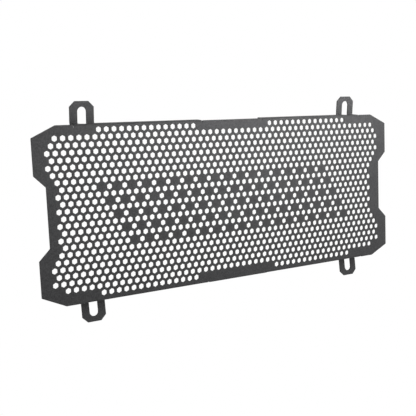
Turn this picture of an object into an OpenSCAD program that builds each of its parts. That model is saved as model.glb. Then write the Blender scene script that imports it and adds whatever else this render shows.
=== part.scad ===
/* [Sheet] */
// Thickness of the sheet
sheet_t = 1.2; // [1:0.1:1.5]
// Inside radius of every fold
fold_r = 0.6; // [0.5:0.1:0.8]
// Width of the slit that parts a fold from the bare edge beside it
slit_w = 0.5; // [0.3:0.1:0.8]

/* [Plate] */
// Width of the plate
plate_w = 355.5; // [350:0.5:362]
// Height of the plate between its bare edges
plate_h = 140; // [139:0.5:146]

/* [Grille] */
// Distance between the centres of neighbouring holes, where one hole stands for three real ones
hole_pitch = 11.1; // [10.8:0.1:11.2]
// Open share of the perforated field, which sets the size of the holes
open_share = 0.44; // [0.4:0.01:0.5]
// Least width of the solid rim beside the holes
rim_w = 8; // [7:0.5:9]
// Least height of the solid rim above and below the holes
end_rim_h = 1.8; // [1.5:0.1:2]
// Height of the middle of the field above the middle of the plate
field_rise = 0.9; // [0:0.1:1]

/* [Outline of the plate] */
// Length that each sloping corner takes off the top and bottom edges
corner_len = 19; // [15:0.5:22]
// Height that each sloping corner takes off the side edges
corner_h = 9; // [6:0.5:12]
// Depth of the notch in each side
notch_depth = 9; // [7:0.5:9.5]
// Height of the notch at the edge, with both ends sloping at 45 degrees
notch_h = 65; // [60:0.5:70]

/* [Flanges and tabs] */
// Front face of the plate to the front faces of the tabs, at the middle of their slots
stand_off = 8.5; // [6:0.5:12]
// Outer face of a flange beyond the bare edge of the plate, at the flange's fold
flange_rise = 0.2; // [0:0.1:1.2]
// Angle by which a flange's fold stops short of a right angle, so that its tab leans forward
tab_lean = 6; // [0:1:8]
// Centre line of the plate to the inner end of each flange
flange_start = 31; // [20:1:60]
// Distance between the left and right tabs
tab_spacing = 268; // [256:1:272]
// Width of a tab
tab_w = 20; // [18:0.5:24]
// Height of a tab above the outer face of its flange
tab_h = 17.2; // [16:0.1:24]
// Size of the 45 degree corners at the tip of a tab
tab_corner = 4.4; // [3:0.1:5]
// Width of the slot in a tab
slot_w = 7.3; // [6.5:0.1:8.5]
// Metal left between the slot's round end and the tip
slot_rim = 4.4; // [3.5:0.1:6]

/* [Hidden] */

hole_w = hole_pitch * sqrt(open_share);
hole_r = hole_w / sqrt(3);

// The plate's height sets the number of rows, which is even, and its width the places in a row.
// Rows are numbered from the top, and the odd rows are half a pitch out of line.
row_step = hole_pitch * sqrt(3) / 2;
rows_h = plate_h / 2 - field_rise - end_rim_h - hole_r;
hole_rows = 2 * floor(rows_h / row_step + 1 / 2);
full_row = 2 * floor((plate_w / 2 - rim_w - hole_w / 2) / hole_pitch + 1 / 2);
first_row_z = field_rise + (hole_rows - 1) / 2 * row_step;
// Closed places make sloping stripes: every second place of three rows about the middle
stripe_row = 2 * floor(hole_rows / 4);
stripe_steps = 2;
stripe_count = full_row / 2 - 3;
stripe_first = -stripe_count - 1 / 2;

fold_outer = fold_r + sheet_t;
flange_z = plate_h / 2 + flange_rise;
fold_z = flange_z - fold_outer;
flange_end = (tab_spacing + tab_w) / 2;
tip_z = flange_z + tab_h;
slot_r = slot_w / 2;
slot_end_z = tip_z - slot_rim - slot_r;
over = 1;

// The tab's rear face lies this far behind the axis of the flange's fold, square to the tab,
// which brings the middle of the slot to y = 0
plate_back_y = -stand_off;
fold_y = plate_back_y + fold_r;
slot_mid_z = (flange_z + tip_z - slot_rim) / 2;
tab_reach = ((slot_mid_z - fold_z) * sin(tab_lean) - fold_y) / cos(tab_lean);
tab_fold_y = -fold_outer;
// Middle of the slot's round end in the flange, a little before the tab's fold starts
slot_foot_y = tab_fold_y - fold_r / 2;
round_fn = 32;
// Flat steps that make up the curve of each fold
fold_steps = 8;

function is_even(row) = row % 2 == 0;
function row_z(row) = first_row_z - (row - 1) * row_step;

// Places in a row, counted in pitches from the middle
function row_last(row) = (is_even(row) ? full_row - 1 : full_row - 2) / 2;
function row_places(row) = [-row_last(row) : 1 : row_last(row)];

// Half width of the plate at a height, less what the sloping corner or the notch takes off
function corner_cut(z) = max(0, abs(z) - plate_h / 2 + corner_h) * corner_len / corner_h;
function notch_cut(z) = min(notch_depth, max(0, notch_h / 2 - abs(z)));
function half_width(z) = plate_w / 2 - max(corner_cut(z), notch_cut(z));

function clears_side(x, z) =
    abs(x) + hole_w / 2 + rim_w <= min(half_width(z - hole_r), half_width(z + hole_r));

// The first and last rows have holes only between a flange's inner end and its tab's slot
function in_end_row(x) =
    abs(x) - hole_w / 2 > flange_start && abs(x) + hole_w / 2 < (tab_spacing - slot_w) / 2;

// The stripes move one place to the right for every second row down
function in_stripe(row, place) =
    let (step = (row - stripe_row) / 2)
    let (stripe = (place - stripe_first - step) / 2)
    is_even(row) && step >= 0 && step <= stripe_steps
        && stripe >= 0 && stripe < stripe_count && stripe == floor(stripe);

function is_open(row, place) =
    row == 1 || row == hole_rows
        ? in_end_row(place * hole_pitch)
        : clears_side(place * hole_pitch, row_z(row)) && !in_stripe(row, place);

// Right side of the plate, from the top down, with its sloping corners and its notch
right_side = [
    [plate_w / 2 - corner_len, plate_h / 2],
    [plate_w / 2, plate_h / 2 - corner_h],
    [plate_w / 2, notch_h / 2],
    [plate_w / 2 - notch_depth, notch_h / 2 - notch_depth],
    [plate_w / 2 - notch_depth, notch_depth - notch_h / 2],
    [plate_w / 2, -notch_h / 2],
    [plate_w / 2, corner_h - plate_h / 2],
    [plate_w / 2 - corner_len, -plate_h / 2]
];

module outline() {
    polygon(concat(right_side, [for (point = right_side) -point]));
}

// What the folds take off the top edge: the flange's own length, and a slit at each end of it
module fold_line() {
    translate([flange_start - slit_w, fold_z])
        square([flange_end - flange_start + 2 * slit_w, fold_outer + over]);
    for (slit_x = [flange_start - slit_w, flange_end])
        translate([slit_x, fold_z - slit_w])
            square([slit_w, fold_outer + over]);
}

// Hexagonal holes with a corner at the top
module hole_field() {
    for (row = [1 : hole_rows], place = row_places(row))
        if (is_open(row, place))
            translate([place * hole_pitch, row_z(row)])
                rotate(30)
                    circle(r = hole_r, $fn = 6);
}

module plate() {
    translate([0, plate_back_y, 0])
        rotate([90, 0, 0])
            linear_extrude(sheet_t)
                difference() {
                    outline();
                    for (side = [0, 1], end = [0, 1])
                        mirror([side, 0]) mirror([0, end]) fold_line();
                    hole_field();
                }
}

// Sections of the sheet across a fold, as points [y, z] in the order of their angles
function along(angle) = [cos(angle), sin(angle)];
function arc(centre, r, from, to) =
    [for (step = [0 : fold_steps]) centre + r * along(from + (to - from) * step / fold_steps)];

flange_centre = [fold_y, fold_z];
tab_centre = flange_centre + (tab_reach + tab_fold_y) * along(tab_lean)
    + (fold_outer + fold_r) * along(90 + tab_lean);
flange_outside = arc(flange_centre, fold_outer, 180, 90 + tab_lean);
flange_inside = arc(flange_centre, fold_r, 90 + tab_lean, 180);
tab_front = arc(tab_centre, fold_r, tab_lean - 90, tab_lean);
tab_rear = arc(tab_centre, fold_outer, tab_lean, tab_lean - 90);
tab_rise = (tip_z - flange_z - fold_r) * along(90 + tab_lean);

// From the plate round the fold to the flange's rear edge
flange_section = concat(flange_outside, [tab_front[0], tab_rear[fold_steps]], flange_inside);
// And on round the second fold to the tab's tip
tab_section = concat(
    flange_outside,
    tab_front,
    [tab_front[fold_steps] + tab_rise, tab_rear[0] + tab_rise],
    tab_rear,
    flange_inside
);

// A section of the sheet, run along X between two places
module run(section, from, to) {
    translate([from, 0, 0])
        rotate([90, 0, 90])
            linear_extrude(to - from)
                polygon(section);
}

// What is drawn upright behind y = 0 leans with the tab about the axis of the flange's fold
module leaning() {
    translate([0, fold_y, fold_z])
        rotate([tab_lean, 0, 0])
            translate([0, tab_reach, -fold_z])
                children();
}

// The slot was punched in the flat sheet, so it runs on round the fold into the flange
module slot() {
    translate([0, over, slot_end_z])
        rotate([90, 0, 0])
            cylinder(h = sheet_t + 2 * over, r = slot_r, $fn = round_fn);
    translate([-slot_r, slot_foot_y, flange_z - sheet_t - over])
        cube([slot_w, over - slot_foot_y, slot_end_z - flange_z + sheet_t + over]);
    translate([0, slot_foot_y, flange_z - sheet_t - over])
        cylinder(h = sheet_t + 2 * over, r = slot_r, $fn = round_fn);
}

// What the sloping corner takes off one side of the tip
module tip_corner() {
    translate([tab_w / 2, over, tip_z])
        rotate([90, 0, 0])
            linear_extrude(sheet_t + 2 * over)
                polygon([
                    [-tab_corner - over, over],
                    [over, -tab_corner - over],
                    [over, over]
                ]);
}

// The upper right flange, folded back from the plate, with its tab at the outer end
module flange() {
    tab_x = tab_spacing / 2;
    difference() {
        union() {
            run(flange_section, flange_start, tab_x - tab_w / 2);
            run(tab_section, tab_x - tab_w / 2, tab_x + tab_w / 2);
        }
        translate([tab_x, 0, 0])
            leaning() {
                slot();
                for (side = [0, 1])
                    mirror([side, 0, 0]) tip_corner();
            }
    }
}

// One perforated sheet: the plate, four flanges and four slotted tabs
module radiator_guard() {
    color("#3d3d3f") {
        plate();
        for (side = [0, 1], end = [0, 1])
            mirror([side, 0, 0]) mirror([0, 0, end]) flange();
    }
}

radiator_guard();
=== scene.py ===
import math

import bmesh
import bpy
from mathutils import Matrix, Quaternion, Vector
from mathutils.geometry import delaunay_2d_cdt


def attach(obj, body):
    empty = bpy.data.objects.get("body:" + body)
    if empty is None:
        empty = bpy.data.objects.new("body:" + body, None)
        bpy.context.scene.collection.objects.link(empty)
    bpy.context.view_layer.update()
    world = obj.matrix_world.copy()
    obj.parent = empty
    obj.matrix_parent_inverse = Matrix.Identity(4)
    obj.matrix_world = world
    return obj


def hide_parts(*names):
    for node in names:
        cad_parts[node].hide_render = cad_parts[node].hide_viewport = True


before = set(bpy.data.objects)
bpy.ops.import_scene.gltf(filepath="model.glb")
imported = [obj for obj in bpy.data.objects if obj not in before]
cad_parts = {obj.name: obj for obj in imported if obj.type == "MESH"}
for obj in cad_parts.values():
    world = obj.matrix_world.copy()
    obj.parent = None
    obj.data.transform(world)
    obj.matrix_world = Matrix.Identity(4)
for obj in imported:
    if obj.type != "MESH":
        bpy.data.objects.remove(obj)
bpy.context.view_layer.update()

# The camera stands to the left of the guard and a little above its middle,
# about 0.6 m away, and leans over by two degrees.
# Its place was fitted to the rows of holes in the photograph.
camera_place = Vector((-0.3177, -0.516, 0.0635))
camera_aim = Vector((0.4921, 0.8627, -0.1168))
camera_lean = math.radians(-2.34)
lens_mm = 59.03
camera = bpy.data.objects.new("camera", bpy.data.cameras.new("camera"))
camera.data.lens = lens_mm
camera.data.sensor_width = 36
camera.location = camera_place
camera.rotation_mode = "QUATERNION"
camera.rotation_quaternion = camera_aim.to_track_quat("-Z", "Y") @ Quaternion((0, 0, 1), camera_lean)
bpy.context.scene.collection.objects.link(camera)
bpy.context.scene.camera = camera
bpy.context.scene.view_settings.view_transform = "Standard"

# The sheet is one blank of steel, laser cut flat: the plate, four flanges
# along its top and bottom edges, and a tab at the outer end of each flange.
# All sizes are in millimetres, and the blank is measured along its middle.
mm = 0.001
sheet_t = 1.2
fold_r = 0.6
slit_w = 0.5
plate_w = 355.5
plate_h = 140
corner_len = 19
corner_h = 9
notch_depth = 9
notch_h = 65
stand_off = 8.5
flange_rise = 0.2
flange_start = 31
tab_spacing = 268
tab_lean = math.radians(6)
tab_w = 20
tab_h = 17.2
tab_corner = 4.4
slot_w = 7.3
slot_rim = 4.4
corner_r = 0.5
corner_steps = 3

fold_outer = fold_r + sheet_t
flange_z = plate_h / 2 + flange_rise
fold_z = flange_z - fold_outer
flange_end = (tab_spacing + tab_w) / 2
tip_z = flange_z + tab_h
slot_mid_z = (tip_z - slot_rim + flange_z) / 2

# Each flange's fold stops six degrees short of a right angle, so the flange
# rises a little to the rear and its tab leans forward. The tab's own fold is square.
fold_y = fold_r - stand_off
tab_reach = ((slot_mid_z - fold_z) * math.sin(tab_lean) - fold_y) / math.cos(tab_lean)
flange_flat = tab_reach - fold_outer
tab_flat = tip_z - flange_z - fold_r
middle_r = fold_r + sheet_t / 2
flange_v = fold_z + (math.pi / 2 - tab_lean) * middle_r
tab_fold_v = flange_v + flange_flat
tab_v = tab_fold_v + math.pi / 2 * middle_r
tip_v = tab_v + tab_flat


def quarter_outline():
    """Upper right quarter of the blank, from the right side up and over to the middle"""
    right = plate_w / 2
    tab_left = tab_spacing / 2 - tab_w / 2
    return [
        (right - notch_depth, notch_h / 2 - notch_depth),
        (right, notch_h / 2),
        (right, plate_h / 2 - corner_h),
        (right - corner_len, plate_h / 2),
        (flange_end + slit_w, plate_h / 2),
        (flange_end + slit_w, fold_z - slit_w),
        (flange_end, fold_z - slit_w),
        (flange_end, tip_v - tab_corner),
        (flange_end - tab_corner, tip_v),
        (tab_left + tab_corner, tip_v),
        (tab_left, tip_v - tab_corner),
        (tab_left, tab_fold_v),
        (flange_start, tab_fold_v),
        (flange_start, fold_z - slit_w),
        (flange_start - slit_w, fold_z - slit_w),
        (flange_start - slit_w, plate_h / 2),
    ]


def with_neighbours(loop):
    return zip(loop[-1:] + loop[:-1], loop, loop[1:] + loop[:1])


def rounded(loop, radius, steps):
    """A closed outline with an arc at each corner, which takes less than half of each side"""
    longest_share = 0.45
    smooth = []
    for before, corner, after in with_neighbours(loop):
        back = before - corner
        ahead = after - corner
        half = back.angle(ahead) / 2
        longest = longest_share * min(back.length, ahead.length)
        reach = min(radius / math.tan(half), longest)
        start = corner + back.normalized() * reach
        end = corner + ahead.normalized() * reach
        middle = (start + end) / 2
        centre = corner + (middle - corner) / math.cos(half) ** 2
        turn = (start - centre).angle_signed(end - centre)
        for step in range(steps + 1):
            arm = start - centre
            arm.rotate(Matrix.Rotation(-turn * step / steps, 2))
            smooth.append(centre + arm)
    return smooth


quarter = [Vector(point) for point in quarter_outline()]
right_half = [Vector((x, -v)) for x, v in reversed(quarter)] + quarter
left_half = [Vector((-x, v)) for x, v in reversed(right_half)]
outline = rounded(right_half + left_half, corner_r, corner_steps)

# The grille is a field of 1069 hexagonal holes, cut by laser in 24 rows.
# Every second row is half a pitch out of line. The first and last rows are
# short, and closed places in the middle rows make eighteen sloping stripes.
pitch = 6.5
hole_w = 4.3
hole_corner_r = 0.35
hole_corner_steps = 2
field_shift = -0.5
field_rise = 0.9
row_count = 24
full_row = 52
short_rows = [2, 8, 9, 10, 11, 12, 13, 14, 15, 16, 17, 18, 23]
end_row_from = 6
end_row_to = 19
stripe_rows = [9, 11, 13, 15, 17]
stripe_first = -19
stripe_count = 18


def row_places(row):
    """Places of a row's holes, counted in pitches from the middle of the field"""
    even = row % 2 == 0
    last = (full_row - 1 if even else full_row - 2) / 2
    if row in short_rows:
        last -= 1
    places = [place - last for place in range(int(2 * last) + 1)]
    if row in (1, row_count):
        shift = 0.5 if even else 0
        return [x for x in places if end_row_from <= abs(x) - shift <= end_row_to]
    if even and stripe_rows[0] < row < stripe_rows[-1]:
        return places[:-1]
    if row in stripe_rows:
        first = stripe_first + stripe_rows.index(row)
        closed = [first + 2 * stripe for stripe in range(stripe_count)]
        return [x for x in places if x not in closed]
    return places


hexagon = [
    Vector((math.sin(turn), math.cos(turn))) * hole_w / math.sqrt(3)
    for turn in (math.pi / 3 * side for side in range(6))
]
hexagon = rounded(hexagon, hole_corner_r, hole_corner_steps)
row_step = pitch * math.sqrt(3) / 2
hole_centres = [
    Vector((field_shift + x * pitch, field_rise + ((row_count + 1) / 2 - row) * row_step))
    for row in range(1, row_count + 1)
    for x in row_places(row)
]

# Each tab has an upright slot for a bolt and its collar. It was cut in the
# flat blank too, so after folding it runs on round the fold into the flange.
slot_steps = 16
slot_r = slot_w / 2
slot_top = tip_v - slot_rim - slot_r
slot_foot = tab_fold_v - fold_r / 2


def slot_loop(side, end):
    """One slot, clockwise, with its round ends at the tip and in the flange"""
    arc = [math.pi * step / slot_steps for step in range(slot_steps + 1)]
    top = [Vector((-math.cos(a) * slot_r, slot_top + math.sin(a) * slot_r)) for a in arc]
    foot = [Vector((math.cos(a) * slot_r, slot_foot - math.sin(a) * slot_r)) for a in arc]
    loop = [Vector((x + side * tab_spacing / 2, end * v)) for x, v in top + foot]
    return loop if end > 0 else loop[::-1]


# Cutting leaves square edges, which the blasting before the coat and the
# coat itself ease by about a tenth of a millimetre on both faces.
edge_ease = 0.1


def moved_in(loop, distance):
    """An outline moved to its left, into the metal"""
    moved = []
    for before, point, after in with_neighbours(loop):
        came = (point - before).normalized()
        goes = (after - point).normalized()
        sides = Vector((-came.y - goes.y, came.x + goes.x))
        moved.append(point + sides * distance / (1 + came.dot(goes)))
    return moved


eased_hexagon = moved_in(hexagon, edge_ease)
cuts = [(outline, moved_in(outline, edge_ease))]
for side in (-1, 1):
    for end in (-1, 1):
        slot = slot_loop(side, end)
        cuts.append((slot, moved_in(slot, edge_ease)))
for centre in hole_centres:
    cuts.append(([centre + p for p in hexagon], [centre + p for p in eased_hexagon]))

# The blank's two faces are joined by the walls of its cuts.
blank = bmesh.new()
front_ring = []
back_ring = []
face_points = []
face_loops = []
for cut, eased in cuts:
    rings = []
    for points, depth in (
        (eased, 0),
        (cut, edge_ease),
        (cut, sheet_t - edge_ease),
        (eased, sheet_t),
    ):
        rings.append([blank.verts.new((p.x, depth, p.y)) for p in points])
    for front, back in zip(rings, rings[1:]):
        for i in range(len(front)):
            blank.faces.new((front[i - 1], back[i - 1], back[i], front[i]))
    first = len(face_points)
    face_points += eased
    face_loops.append(list(range(first, len(face_points))))
    front_ring += rings[0]
    back_ring += rings[3]

# The outline runs one way round and the holes the other, so the fill keeps to the metal
metal_only = 1
join_within = 1e-5
face_loops = face_loops[:1] + [loop[::-1] for loop in face_loops[1:]]
filled = delaunay_2d_cdt(face_points, [], face_loops, metal_only, join_within)
same_point = [source[0] for source in filled[3]]
for triangle, source in zip(filled[2], filled[5]):
    if source == [0]:
        corners = [same_point[corner] for corner in triangle]
        blank.faces.new([front_ring[corner] for corner in corners])
        blank.faces.new([back_ring[corner] for corner in reversed(corners)])

# A press folds each flange back from the plate, and the tab up from the
# flange's outer end. The folds are a close bend round a sharp tool.
fold_steps = 6
fold_margin = 1
for end in (-1, 1):
    for fold_start, fold_end in ((fold_z, flange_v), (tab_fold_v, tab_v)):
        for step in range(fold_steps + 1):
            height = end * (fold_start + (fold_end - fold_start) * step / fold_steps)
            near = [
                face
                for face in blank.faces
                if max(end * vert.co.z for vert in face.verts) > fold_z - fold_margin
            ]
            edges = {edge for face in near for edge in face.edges}
            corners = {vert for face in near for vert in face.verts}
            bmesh.ops.bisect_plane(
                blank,
                geom=near + list(edges) + list(corners),
                dist=1e-4,
                plane_co=(0, 0, height),
                plane_no=(0, 0, 1),
            )


def folded(x, depth, v):
    """Place of a point of the flat blank, its depth below the front face, once it is folded"""
    if not flange_start - slit_w / 2 < abs(x) < flange_end + slit_w / 2 or v < fold_z:
        return depth - sheet_t - stand_off, v
    # The rest is worked out upright, from the axis of the flange's fold, and then leans about it
    if v < flange_v:
        turn = (v - fold_z) / middle_r + tab_lean
        reach = fold_outer - depth
        back, up = -reach * math.cos(turn), reach * math.sin(turn)
    elif v < tab_fold_v:
        back, up = v - flange_v, fold_outer - depth
    elif v < tab_v:
        turn = (v - tab_fold_v) / middle_r
        reach = fold_r + depth
        back = flange_flat + reach * math.sin(turn)
        up = fold_outer + fold_r - reach * math.cos(turn)
    else:
        back, up = tab_reach + depth - sheet_t, fold_outer + fold_r + v - tab_v
    return (
        fold_y + back * math.cos(tab_lean) - up * math.sin(tab_lean),
        fold_z + back * math.sin(tab_lean) + up * math.cos(tab_lean),
    )


for vert in blank.verts:
    x, depth, v = vert.co
    y, z = folded(x, depth, abs(v))
    vert.co = Vector((x, y, math.copysign(z, v))) * mm

sheet_mesh = bpy.data.meshes.new("guard_sheet")
blank.to_mesh(sheet_mesh)
blank.free()
sheet_mesh.shade_smooth()
sheet_mesh.set_sharp_from_angle(angle=math.radians(50))
guard_sheet = bpy.data.objects.new("guard_sheet", sheet_mesh)
bpy.context.scene.collection.objects.link(guard_sheet)
even_normals = guard_sheet.modifiers.new("even_normals", "WEIGHTED_NORMAL")
even_normals.keep_sharp = True
even_normals.weight = 100

# The whole guard is powder coated in a charcoal black after folding.
# The coat is matte, with a fine grain, flecks of about a millimetre in its
# brightness, and a slight orange peel.
charcoal = (0.036, 0.036, 0.037, 1)
charcoal_light = (0.076, 0.076, 0.078, 1)


class Shade:
    """A socket of a finish, which can stand in a sum or a product"""

    def __init__(self, tree, socket=None):
        self.tree = tree
        self.socket = socket

    def node(self, kind, settings=None, sockets=None, output=0):
        """Adds a node: its settings first, then the values or links of its sockets"""
        node = self.tree.nodes.new(kind)
        for name, value in (settings or {}).items():
            setattr(node, name, value)
        for name, value in (sockets or {}).items():
            if isinstance(value, Shade):
                self.tree.links.new(value.socket, node.inputs[name])
            else:
                node.inputs[name].default_value = value
        return Shade(self.tree, node.outputs[output] if node.outputs else None)

    def maths(self, operation, first, second):
        return self.node("ShaderNodeMath", {"operation": operation}, {0: first, 1: second})

    def __add__(self, other):
        return self.maths("ADD", self, other)

    def __radd__(self, other):
        return self.maths("ADD", other, self)

    def __sub__(self, other):
        return self.maths("SUBTRACT", self, other)

    def __rsub__(self, other):
        return self.maths("SUBTRACT", other, self)

    def __mul__(self, other):
        return self.maths("MULTIPLY", self, other)

    def __rmul__(self, other):
        return self.maths("MULTIPLY", other, self)


def new_finish(name):
    """An empty material and its node tree"""
    material = bpy.data.materials.new(name)
    material.use_nodes = True
    material.node_tree.nodes.clear()
    return material, Shade(material.node_tree)


powder_coat, coat = new_finish("powder_coat")
place = coat.node("ShaderNodeTexCoord", output="Object")
grain = coat.node(
    "ShaderNodeTexNoise", sockets={"Vector": place, "Scale": 2600, "Detail": 3, "Roughness": 0.6}
)
fleck = coat.node(
    "ShaderNodeTexNoise", sockets={"Vector": place, "Scale": 1200, "Detail": 2, "Roughness": 0.6}
)
peel = coat.node("ShaderNodeTexNoise", sockets={"Vector": place, "Scale": 700, "Detail": 2})
cloud = coat.node("ShaderNodeTexNoise", sockets={"Vector": place, "Scale": 30, "Detail": 3})
# Each noise varies about one half, and the mottle does too
mottle = fleck * 2 + grain + cloud * 0.4 - 1.25
coat_colour = coat.node(
    "ShaderNodeMix",
    {"data_type": "RGBA"},
    {0: mottle, 6: charcoal, 7: charcoal_light},
    output=2,
)
coat_bump = coat.node(
    "ShaderNodeBump",
    sockets={"Height": grain * 0.5 + peel, "Strength": 0.6, "Distance": 0.00006},
)
coat_shader = coat.node(
    "ShaderNodeBsdfPrincipled",
    sockets={
        "Base Color": coat_colour,
        "Roughness": 0.5 + cloud * 0.12,
        "Specular IOR Level": 0.06,
        "Normal": coat_bump,
    },
)
coat.node("ShaderNodeOutputMaterial", sockets={"Surface": coat_shader})
guard_sheet.data.materials.append(powder_coat)

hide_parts("radiator_guard")
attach(guard_sheet, "root")

# The floor is a plain pale sheet well below the guard, which hangs free in
# the photograph and throws no shadow there. It looks white to the camera.
floor_z = -1.2
floor_half = 3


def white_rays(tree):
    """One for the rays that see the pale studio as plain white"""
    seen = tree.node("ShaderNodeLightPath", output="Is Camera Ray")
    mirrored = tree.node("ShaderNodeLightPath", output="Is Glossy Ray")
    through = tree.node("ShaderNodeLightPath", output="Is Transmission Ray")
    return seen + mirrored + through


floor_mesh = bpy.data.meshes.new("floor")
floor_mesh.from_pydata(
    [(x * floor_half, y * floor_half, floor_z) for x, y in ((-1, -1), (1, -1), (1, 1), (-1, 1))],
    [],
    [(0, 1, 2, 3)],
)
floor = bpy.data.objects.new("floor", floor_mesh)
bpy.context.scene.collection.objects.link(floor)
paper, paper_tree = new_finish("pale_paper")
paper_plain = paper_tree.node("ShaderNodeBsdfDiffuse", sockets={"Color": (0.8, 0.8, 0.8, 1)})
paper_white = paper_tree.node("ShaderNodeEmission", sockets={"Color": (1, 1, 1, 1), "Strength": 1})
paper_mix = paper_tree.node(
    "ShaderNodeMixShader", sockets={0: white_rays(paper_tree), 1: paper_plain, 2: paper_white}
)
paper_tree.node("ShaderNodeOutputMaterial", sockets={"Surface": paper_mix})
floor_mesh.materials.append(paper)

# Soft studio light in a dim room. A softbox near the front shines up past the
# top edge, and one above it lights the flanges. Two wide ones low at the left
# and right fill in, and one behind lights the rear face.
room_strength = 0.04
world = bpy.data.worlds.new("studio")
bpy.context.scene.world = world
world.use_nodes = True
world.node_tree.nodes.clear()
room = Shade(world.node_tree)
room_light = room.node("ShaderNodeBackground", sockets={"Color": (1, 1, 1, 1), "Strength": room_strength})
room_white = room.node("ShaderNodeBackground", sockets={"Color": (1, 1, 1, 1), "Strength": 1})
room_mix = room.node(
    "ShaderNodeMixShader", sockets={0: white_rays(room), 1: room_light, 2: room_white}
)
room.node("ShaderNodeOutputWorld", sockets={"Surface": room_mix})


def softbox(name, place, aim, size, power):
    """A square lamp at a place, turned to the point that it lights"""
    lamp = bpy.data.objects.new(name, bpy.data.lights.new(name, "AREA"))
    lamp.data.size = size
    lamp.data.energy = power
    lamp.location = place
    lamp.rotation_mode = "QUATERNION"
    lamp.rotation_quaternion = (Vector(aim) - Vector(place)).to_track_quat("-Z", "Y")
    lamp.visible_camera = False
    bpy.context.scene.collection.objects.link(lamp)


softbox("key_softbox", (0.152, -0.381, 0.144), (0.08, 0, 0.7), 0.22, 4.3)
softbox("top_softbox", (0.127, -0.287, 0.297), (0.08, 0, 0.25), 0.22, 1.25)
softbox("low_left_softbox", (-0.465, -0.465, -0.239), (0, 0, 0), 0.4, 1.55)
softbox("low_right_softbox", (0.539, -0.377, -0.239), (0, 0, 0), 0.4, 1.85)
softbox("rear_softbox", (0.9, 1.3, -0.3), (0, 0, 0), 0.8, 30)
